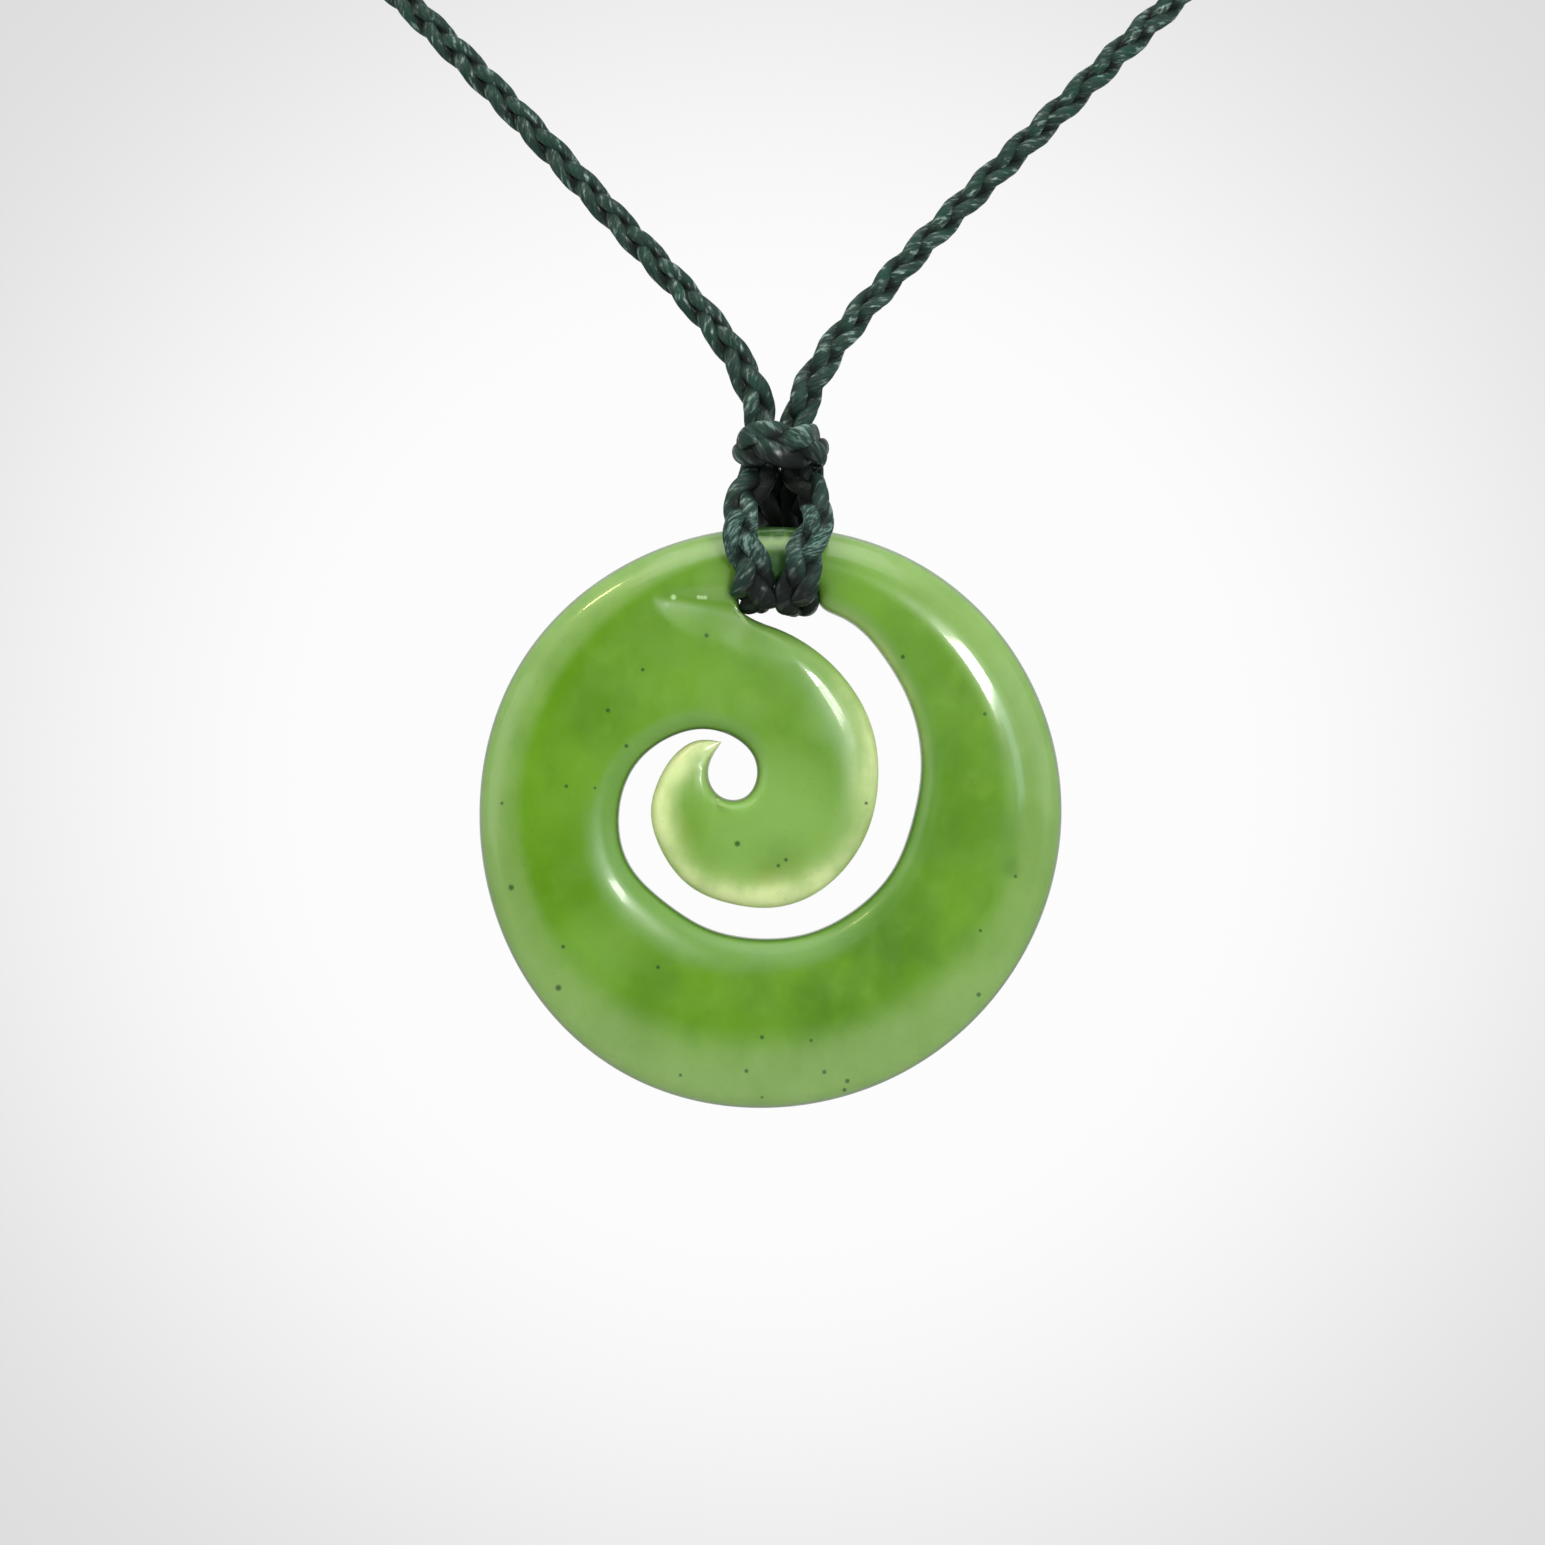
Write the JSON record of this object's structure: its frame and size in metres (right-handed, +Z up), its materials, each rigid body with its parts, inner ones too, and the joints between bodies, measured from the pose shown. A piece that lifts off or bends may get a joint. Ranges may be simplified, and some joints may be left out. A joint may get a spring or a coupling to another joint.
{
  "type": "koru pendant on a plaited cord necklace",
  "caption": "Round green stone pendant with a spiral koru slot cut through it, hung by a hitch on a dark green plaited cord that closes in a loop with a plain barrel at the nape.",
  "frame": {"origin": "where the join at the back of the cord sits on the nape, on the join's side towards the neck", "axes": "+Z up, -Y towards the front of the wearer, where the stone's face looks, +X to the right as seen from the front"},
  "size_m": [0.1248, 0.1372, 0.153],
  "materials": {
    "stone": "polished, slightly translucent green nephrite with faint clouds and small dark specks",
    "cord": "waxed dark green cord with a satin gloss",
    "join": "waxed dark green thread wound tight"
  },
  "bodies": {
    "root": {"koru_stone": "stone", "cord_strand_1": "cord", "cord_strand_2": "cord", "cord_strand_3": "cord", "nape_join": "join"}
  },
  "joints": []
}
